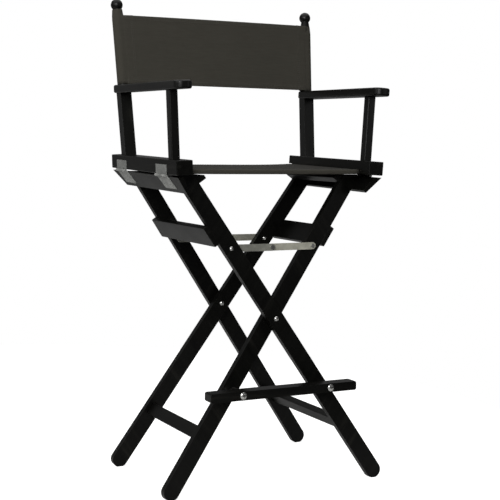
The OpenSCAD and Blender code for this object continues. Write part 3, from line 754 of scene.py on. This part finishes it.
# Its loops round the dowels, and its right end in the rail's groove
LOOP_RADIUS = 5.0 * MM
LOOP_THICK = 0.7 * CLOTH_THICK
LOOP_POINTS = 20
LOOP_ROWS = 12
TONGUE_LAP = 2.5 * MM
TONGUE_THICK = 0.9 * MM
FOLD_CLEAR = 2.6 * MM


class SeatPlan:
    """Where the seat canvas lies, from the dowels and rails of the frame."""

    def __init__(self):
        low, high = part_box("seat_canvas")
        dowel_low, dowel_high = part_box("left_seat_dowel")
        self.dowel = (dowel_low + dowel_high) / 2
        self.front = low.y
        self.back = high.y
        self.top = self.dowel.z + CLOTH_THICK / 2
        self.half = -self.dowel.x
        self.rail = -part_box("left_seat_rail")[1].x
        self.hem_half = self.rail - HEM_SIDE_GAP

    def rise(self, y):
        """How far the slope lifts the canvas, against the middle of the dowel."""
        return (y - self.dowel.y) * math.tan(math.radians(SEAT_SLOPE))

    def point(self, x, y, z):
        """A point of a level canvas, moved by the slope and the sag."""
        share = max(0.0, 1 - (x / self.hem_half) ** SAG_POWER)
        depth = (y - self.front) / (self.back - self.front)
        slack = SAG_FRONT + (SAG_REAR - SAG_FRONT) * depth + SAG_MIDDLE * math.sin(math.pi * depth)
        return Vector((x, y, z - (slack * share - self.rise(y))))

    def hem_profile(self):
        """Places (y, z) round the front hem, from its inner end up to the seat."""
        front, top = self.front, self.top
        bottom = top - HEM_DROP
        return [
            (front + HEM_DEEP + 1.5 * MM, top - 3 * MM),
            (front + HEM_DEEP, bottom + 1.5 * MM),
            (front + HEM_DEEP * 0.8, bottom + 0.4 * MM),
            (front + HEM_DEEP * 0.5, bottom),
            (front + HEM_DEEP * 0.2, bottom + 0.4 * MM),
            (front, bottom + 1.5 * MM),
            (front, (top + bottom) / 2),
            (front, top - 2.5 * MM),
            (front + 0.5 * MM, top - 1.0 * MM),
            (front + 1.4 * MM, top - 0.3 * MM),
            (front + 3.0 * MM, top),
        ]

    def level_profile(self):
        """Places (y, z) along the seat, from front to rear."""
        start, end = self.front + LEVEL_START, self.back - LEVEL_END
        return [(y, self.top) for y in spread(start, end, LEVEL_ROWS)]

    def rear_profile(self):
        """Places (y, z) round the rear fold, down to its end under the seat."""
        back, top = self.back, self.top
        return [
            (back - 1.0 * MM, top - 0.4 * MM),
            (back, top - 1.6 * MM),
            (back - 1.0 * MM, top - 2.8 * MM),
            (back - REAR_FOLD, top - 3.2 * MM),
        ]


def seat_sheet(plan):
    """The sheet from the left dowel to the right rail, and its cut length."""
    hem, level, rear = plan.hem_profile(), plan.level_profile(), plan.rear_profile()
    columns = [-plan.half] + spread(-plan.hem_half, plan.hem_half, SEAT_COLUMNS) + [plan.rail]
    rows = [[plan.point(x, y, z) for x in columns] for y, z in hem + level + rear]
    last = len(columns) - 1

    def used(row, column):
        """The hems stop short of the rails, and the level part reaches them."""
        return 0 < column < last or len(hem) <= row < len(hem) + len(level)

    sheet = grid_piece("seat_sheet", SEAT_CANVAS_PAINTED_SHADE, rows, used)
    # The front hem takes the back's lighter copy of the canvas: painted light on the hem, against the
    # painted shade of the seat top
    sheet.data.materials.append(BACK_CANVAS_PAINTED_LIGHT)
    for face in sheet.data.polygons:
        face.material_index = int(face.center.y < plan.front + HEM_DEEP)
    thicken(sheet, CLOTH_THICK)
    middle = [row[last // 2] for row in rows]
    return sheet, sum((end - start).length for start, end in zip(middle, middle[1:]))


def seat_stitches(plan):
    """Stitch rows across the seat, behind its front edge and along its rear fold."""
    lines = []
    for y in (plan.front + FRONT_ROW, plan.back - REAR_FOLD + FOLD_ROW, plan.back - REAR_ROW):
        across = spread(-plan.hem_half, plan.hem_half, SEAT_MARKS)
        lines += runs([plan.point(x, y, plan.top + CLOTH_THICK / 2) for x in across], UP)
    return stitch_piece("seat_stitches", lines)


def seat_loop(plan, name, sign):
    """A loop round one dowel. sign is 1 on the left, -1 on the right."""
    angles = [2 * math.pi * number / LOOP_POINTS for number in range(LOOP_POINTS)]
    ring = [LOOP_RADIUS * Vector((math.cos(angle), 0, math.sin(angle))) for angle in angles]
    rows = []
    for y in spread(plan.front, plan.back, LOOP_ROWS):
        middle = Vector((plan.dowel.x * sign, y, plan.dowel.z + plan.rise(y)))
        rows.append([middle + off for off in ring])
    loop = grid_piece(name, SEAT_CANVAS_PAINTED_SHADE, rows, closed=True)
    thicken(loop, LOOP_THICK)
    return loop


def seat_tongue(plan):
    """The sheet's right end, which runs through the rail's groove to the dowel."""
    ends = (plan.rail - TONGUE_LAP, plan.half)
    rows = [[Vector((x, y, z + plan.rise(y))) for x in ends] for y, z in plan.level_profile()]
    tongue = grid_piece("seat_tongue_right", SEAT_CANVAS_PAINTED_SHADE, rows)
    thicken(tongue, TONGUE_THICK)
    return tongue


def make_seat():
    """The seat canvas: the sheet and its stitches go with the left side, and its ends stay with the
    sides.
    """
    plan = SeatPlan()
    sheet, length = seat_sheet(plan)
    stitches = seat_stitches(plan)
    left_loop = seat_loop(plan, "seat_loop_left", 1)
    right_loop = seat_loop(plan, "seat_loop_right", -1)
    tongue = seat_tongue(plan)
    held = Vector((-plan.half, plan.front, plan.top))
    axis, share = folding(held, Vector((plan.rail, plan.front, plan.top)))
    share -= FOLD_CLEAR / (plan.half + plan.rail)
    for piece in (sheet, stitches):
        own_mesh(piece)
        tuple(axis)
        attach(piece, "left_side")
    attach(left_loop, "left_side")
    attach(right_loop, "right_side")
    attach(tongue, "right_side")
    for piece in (sheet, stitches, left_loop, right_loop, tongue):
        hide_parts("seat_canvas")


# Back canvas: lean of the sticks and radius of their balls, as in the frame

SIDE_LEAN = 3.0
STICK_TOE = 0.8
RECLINE = 8.2
BALL_RADIUS = 14.6 * MM

# Its panel, whose top and bottom are distances below the middle of the ball, along the stick
PANEL_TOP = 24.6 * MM
PANEL_BOTTOM = 195.2 * MM
PANEL_TALL = PANEL_BOTTOM - PANEL_TOP
LEFT_TOP_DROP = 3.0 * MM
LAP_INSET = 1.5 * MM
LAP_SUNK = 1.2 * MM
PANEL_PROUD = 0.25 * MM
PANEL_BOW = 1.2 * MM
BOW_START = 0.15
BOW_SPAN = 0.7
SEAM_ARCH = 0.25
PANEL_COLUMNS = 61
PANEL_ROWS = 24
BACK_HEM = 12.0 * MM
HEM_PROUD = 0.3 * MM
HEM_RISE = 0.8 * MM
HEM_FALL = 2 * MM
HEM_APART = 3 * MM

# Its sleeves
LEFT_SLEEVE_TOP = 12.0 * MM
RIGHT_SLEEVE_TOP = PANEL_TOP
SLEEVE_RADIUS = 14.2 * MM
SLEEVE_TIP_RADIUS = 12.4 * MM
SLEEVE_TAPER = 18.0 * MM
SLEEVE_TIP_ROWS = (0.0, 1.5 * MM, 4 * MM)
SLEEVE_TIP_LONG = 7 * MM
SLEEVE_STEP_ROWS = (3 * MM, 0.4 * MM)
SEAM_INSET = 34.0 * MM
SLEEVE_ROWS = 26
ARC_POINTS = 37
DRAWN_POINTS = 21

# Its stitch rows, from the panel's edge, from the hem's end and from the sleeve's seam
EDGE_ROW = 2.5 * MM
HEM_ROW = 3 * MM
SEAM_ROWS = (2 * MM, 6 * MM)
HEM_MARKS = 13
HEM_MARK_INSET = 0.01
SEAM_MARKS = 9
SEAM_MARK_INSET = 2 * MM


def mirrored(point, sign):
    """A point as it is, or on the other side with a sign of -1."""
    return Vector((point.x * sign, point.y, point.z))


class BackPlan:
    """Where the back canvas hangs, from the left stick of the frame."""

    def __init__(self):
        low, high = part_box("left_back_post")
        self.ball = Vector((low.x + BALL_RADIUS, high.y - BALL_RADIUS, high.z - BALL_RADIUS))
        lean, toe, back = (math.radians(angle) for angle in (SIDE_LEAN, STICK_TOE, RECLINE))
        unleaned = (math.cos(back) * math.sin(toe), math.sin(back), math.cos(back) * math.cos(toe))
        self.up = Quaternion(DEPTH, -lean) @ Vector(unleaned)
        self.inward = (ACROSS - self.up * ACROSS.dot(self.up)).normalized()
        self.rearward = self.up.cross(self.inward)

    def edge(self, down):
        """The panel's left edge at a distance below the ball's middle."""
        depth = SLEEVE_RADIUS + PANEL_PROUD - CLOTH_THICK / 2
        return self.ball - self.up * down + self.inward * LAP_INSET - self.rearward * depth

    def point(self, down, share, lift):
        """A point of the panel: share runs from left to right, and lift is toward its face."""
        fall = LEFT_TOP_DROP * (1 - share) * (PANEL_BOTTOM - down) / PANEL_TALL
        straight = self.edge(down + fall).lerp(mirrored(self.edge(down), -1), share)
        arch = max(0.0, 4 * share * (1 - share) - SEAM_ARCH)
        height = (down - PANEL_TOP) / PANEL_TALL
        bow = PANEL_BOW * arch * math.sin(math.pi * (BOW_START + BOW_SPAN * height))
        sunk = LAP_SUNK * max(0.0, 1 - (PANEL_COLUMNS - 1) * min(share, 1 - share))
        return straight + DEPTH * bow + self.rearward * (sunk - lift)


def back_panel(plan):
    """The panel between the sticks, with a hem at its top and its bottom."""
    hem = [
        (0.0, 0.0),
        (HEM_RISE, HEM_PROUD),
        (BACK_HEM - HEM_FALL, HEM_PROUD),
        (BACK_HEM, HEM_PROUD / 4),
    ]
    plain_top, plain_bottom = PANEL_TOP + BACK_HEM + HEM_APART, PANEL_BOTTOM - BACK_HEM - HEM_APART
    levels = [(PANEL_TOP + inset, lift) for inset, lift in hem]
    levels += [(down, 0.0) for down in spread(plain_top, plain_bottom, PANEL_ROWS)]
    levels += [(PANEL_BOTTOM - inset, lift) for inset, lift in reversed(hem)]
    columns = spread(0, 1, PANEL_COLUMNS)
    rows = [[plan.point(down, share, lift) for share in columns] for down, lift in levels]
    panel = grid_piece("back_panel", BACK_CANVAS_PAINTED_LIGHT, rows)
    thicken(panel, CLOTH_THICK)
    return panel


def back_stitches(plan):
    """Two stitch rows along each hem, and two down each side, where a sleeve is sewn shut."""
    face = -plan.rearward
    lines = []
    insets = (EDGE_ROW, BACK_HEM - HEM_ROW)
    across = spread(HEM_MARK_INSET, 1 - HEM_MARK_INSET, HEM_MARKS)
    for down in [PANEL_TOP + inset for inset in insets] + [PANEL_BOTTOM - inset for inset in insets]:
        lines += runs([plan.point(down, share, HEM_PROUD + CLOTH_THICK / 2) for share in across], face)
    wide = -2 * plan.edge(PANEL_TOP).x
    downs = spread(PANEL_TOP + SEAM_MARK_INSET, PANEL_BOTTOM - SEAM_MARK_INSET, SEAM_MARKS)
    for row in SEAM_ROWS:
        inset = (SEAM_INSET - LAP_INSET - row) / wide
        for share in (inset, 1 - inset):
            lines += runs([plan.point(down, share, CLOTH_THICK / 2) for down in downs], face)
    return stitch_piece("back_stitches", lines)


def sleeve_section(radius, drawn):
    """Points (inward, rearward) round a sleeve: round on the stick, flat in front, sewn shut at the seam.

    drawn is 1 where the sleeve reaches the seam, and 0 where it is only a tube.
    """
    seam = Vector((SEAM_INSET, -radius))
    front_touch = -math.pi / 2
    rear_touch = 2 * math.atan2(seam.y, seam.x) + math.pi / 2

    def on_stick(angle):
        return radius * Vector((math.cos(angle), math.sin(angle)))

    points = [on_stick(angle) for angle in spread(front_touch, rear_touch - 2 * math.pi, ARC_POINTS)]
    front, rear = points[0], points[-1]
    for share in spread(0, 1, DRAWN_POINTS)[1:-1]:
        tube = on_stick(rear_touch + (front_touch - rear_touch) * share)
        flat = rear.lerp(seam, 2 * share) if share < 0.5 else seam.lerp(front, 2 * share - 1)
        points.append(tube.lerp(flat, drawn))
    return points


def back_sleeve(plan, name, sign, top):
    """A sewn sleeve round one stick. sign is 1 on the left, -1 on the right."""
    heights = [top + row for row in SLEEVE_TIP_ROWS]
    above_panel = top < PANEL_TOP
    start = PANEL_TOP
    if above_panel:
        start = PANEL_TOP + LEFT_TOP_DROP
        heights += [start - row for row in SLEEVE_STEP_ROWS]
    heights += spread(max(start, top + SLEEVE_TIP_LONG), PANEL_BOTTOM, SLEEVE_ROWS)
    rows = []
    for down in heights:
        drawn = 0.0 if above_panel and down < start else 1.0
        closing = max(0.0, 1 - (down - top) / SLEEVE_TAPER)
        radius = SLEEVE_RADIUS - (SLEEVE_RADIUS - SLEEVE_TIP_RADIUS) * closing
        middle = plan.ball - plan.up * down
        row = []
        for place in sleeve_section(radius, drawn):
            row.append(mirrored(middle + plan.inward * place.x + plan.rearward * place.y, sign))
        rows.append(row)
    piece = grid_piece(name, BACK_CANVAS_PAINTED_LIGHT, rows, closed=True)
    thicken(piece, CLOTH_THICK, offset=-1)
    return piece


def make_back():
    """The back canvas: the panel and its stitches go with the left side, and the sleeves stay on their
    sticks.
    """
    plan = BackPlan()
    panel = back_panel(plan)
    stitches = back_stitches(plan)
    left = back_sleeve(plan, "back_sleeve_left", 1, LEFT_SLEEVE_TOP)
    right = back_sleeve(plan, "back_sleeve_right", -1, RIGHT_SLEEVE_TOP)
    held = plan.edge((PANEL_TOP + PANEL_BOTTOM) / 2)
    far = mirrored(held, -1)
    axis, share = folding(held, far)
    for piece in (panel, stitches):
        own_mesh(piece)
        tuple(axis)
        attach(piece, "left_side")
    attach(left, "left_side")
    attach(right, "right_side")
    for piece in (panel, stitches, left, right):
        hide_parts("back_canvas")


# Floor, lights and world

FLOOR_RADIUS = 1.5
FLOOR_SIDES = 96
FLOOR_MIDDLE = (-0.45, 0.5, 0)
FLOOR_COLOUR = (0.66, 0.66, 0.65)
FLOOR_LIFT = 0.80

# The world's strength as the camera sees it, and as it lights the chair from the front and the rear
WORLD_SEEN = 1.0
WORLD_FRONT = 0.05
WORLD_REAR = 0.22
COVE_START = -0.2
COVE_END = 0.6


def make_floor():
    mesh = bpy.data.meshes.new("floor")
    form = bmesh.new()
    bmesh.ops.create_circle(form, cap_ends=True, segments=FLOOR_SIDES, radius=FLOOR_RADIUS)
    form.to_mesh(mesh)
    form.free()
    look = Surface("floor_paper")
    grain = look.noise(look.coordinates(), scale=60, detail=3)
    look.feed(look.span(grain, "Fac", low=0.75, high=0.9), "Result", "Roughness")
    look.set(Base_Color=(*FLOOR_COLOUR, 1), Specular_IOR_Level=0.1, Emission_Color=WHITE)
    seen = look.add("ShaderNodeLightPath")
    look.feed(look.span(seen, "Is Camera Ray", low=0.0, high=FLOOR_LIFT), "Result", "Emission Strength")
    floor = add_object("floor", mesh, look.material)
    floor.location = FLOOR_MIDDLE


def area_light(name, place, target, size, watts):
    data = bpy.data.lights.new(name, "AREA")
    data.shape = "RECTANGLE"
    data.size, data.size_y = size
    data.energy = watts
    lamp = bpy.data.objects.new(name, data)
    lamp.location = place
    lamp.rotation_mode = "QUATERNION"
    lamp.rotation_quaternion = (Vector(target) - Vector(place)).to_track_quat("-Z", "Y")
    bpy.context.scene.collection.objects.link(lamp)


def make_lights():
    middle = (0, 0, 0.6)
    area_light("overhead", place=(0.2, 0.3, 3.6), target=(0, 0, 0), size=(4.5, 4.5), watts=98)
    area_light("left_soft", place=(-2.6, -0.4, 1.9), target=middle, size=(1.4, 1.8), watts=16)
    area_light("front_soft", place=(-2.3, -3.0, 2.1), target=middle, size=(1.6, 1.6), watts=120)
    area_light("right_soft", place=(1.9, -2.3, 1.35), target=(0.1, 0, 1.0), size=(1.0, 1.2), watts=4)


def make_world():
    """A white studio, whose light on the chair is dim in front and brighter at the rear."""
    world = bpy.data.worlds.new("studio")
    world.use_nodes = True
    tree = world.node_tree
    background = tree.nodes["Background"]
    background.inputs["Color"].default_value = WHITE
    seen = tree.nodes.new("ShaderNodeLightPath")
    way = tree.nodes.new("ShaderNodeTexCoord")
    split = tree.nodes.new("ShaderNodeSeparateXYZ")
    cove = tree.nodes.new("ShaderNodeMapRange")
    cove.inputs["From Min"].default_value = COVE_START
    cove.inputs["From Max"].default_value = COVE_END
    cove.inputs["To Min"].default_value = WORLD_FRONT
    cove.inputs["To Max"].default_value = WORLD_REAR
    level = tree.nodes.new("ShaderNodeMapRange")
    level.inputs["To Max"].default_value = WORLD_SEEN
    tree.links.new(way.outputs["Generated"], split.inputs["Vector"])
    tree.links.new(split.outputs["Y"], cove.inputs["Value"])
    tree.links.new(cove.outputs["Result"], level.inputs["To Min"])
    tree.links.new(seen.outputs["Is Camera Ray"], level.inputs["Value"])
    tree.links.new(level.outputs["Result"], background.inputs["Strength"])
    bpy.context.scene.world = world
    bpy.context.scene.view_settings.view_transform = "Standard"


make_camera()
make_floor()
make_lights()
make_world()
dress_frame()
make_screw_heads()
make_seat()
make_back()
